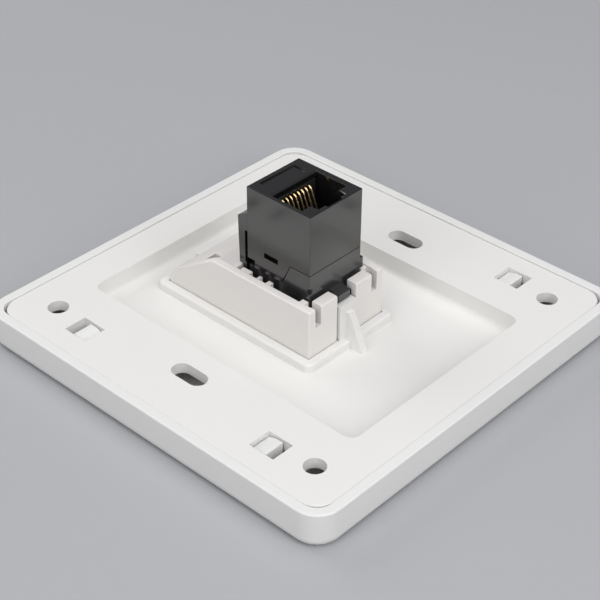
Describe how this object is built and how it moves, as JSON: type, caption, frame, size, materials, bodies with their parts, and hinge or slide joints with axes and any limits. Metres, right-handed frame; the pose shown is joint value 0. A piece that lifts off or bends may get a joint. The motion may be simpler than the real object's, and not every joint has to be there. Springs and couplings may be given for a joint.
{
  "type": "modular wall plate",
  "caption": "Square wall plate with clip-on front cover, sunk base plate, shuttered module carrier and an inline coupler jack with a socket at each end.",
  "frame": {"origin": "centre of the plate's front face, which lies on z = 0; the plate lies face down", "axes": "+Z out of the rear, towards the wall box; X along the module carrier's long side, +X to the end with the snap fingers; Y across it"},
  "size_m": [0.086, 0.086, 0.0329],
  "materials": {
    "white_plastic": "satin moulded",
    "black_plastic": "glossy moulded",
    "dark_insert": "matt moulded",
    "circuit_board": "solder mask",
    "gold_contact": "gold plated",
    "spring_steel": "bare wire"
  },
  "bodies": {
    "plate": {"cover_frame": "white_plastic", "base_plate": "white_plastic", "module_carrier": "white_plastic", "shutter_spring": "spring_steel", "jack_rear_housing": "black_plastic", "jack_front_housing": "black_plastic", "rear_contact_insert": "dark_insert", "front_contact_insert": "dark_insert", "coupler_board": "circuit_board", "rear_contact_1": "gold_contact", "rear_contact_2": "gold_contact", "rear_contact_3": "gold_contact", "rear_contact_4": "gold_contact", "rear_contact_5": "gold_contact", "rear_contact_6": "gold_contact", "rear_contact_7": "gold_contact", "rear_contact_8": "gold_contact", "front_contact_1": "gold_contact", "front_contact_2": "gold_contact", "front_contact_3": "gold_contact", "front_contact_4": "gold_contact", "front_contact_5": "gold_contact", "front_contact_6": "gold_contact", "front_contact_7": "gold_contact", "front_contact_8": "gold_contact"},
    "shutter": {"dust_shutter": "white_plastic"}
  },
  "joints": [
    {"name": "shutter_slide", "type": "slide", "parent": "plate", "child": "shutter", "axis": [-1, 0, 0], "range_m": [0, 0.0115], "stiffness_N_per_m": 40, "springref_m": -0.003, "deforming": ["shutter_spring"]}
  ]
}
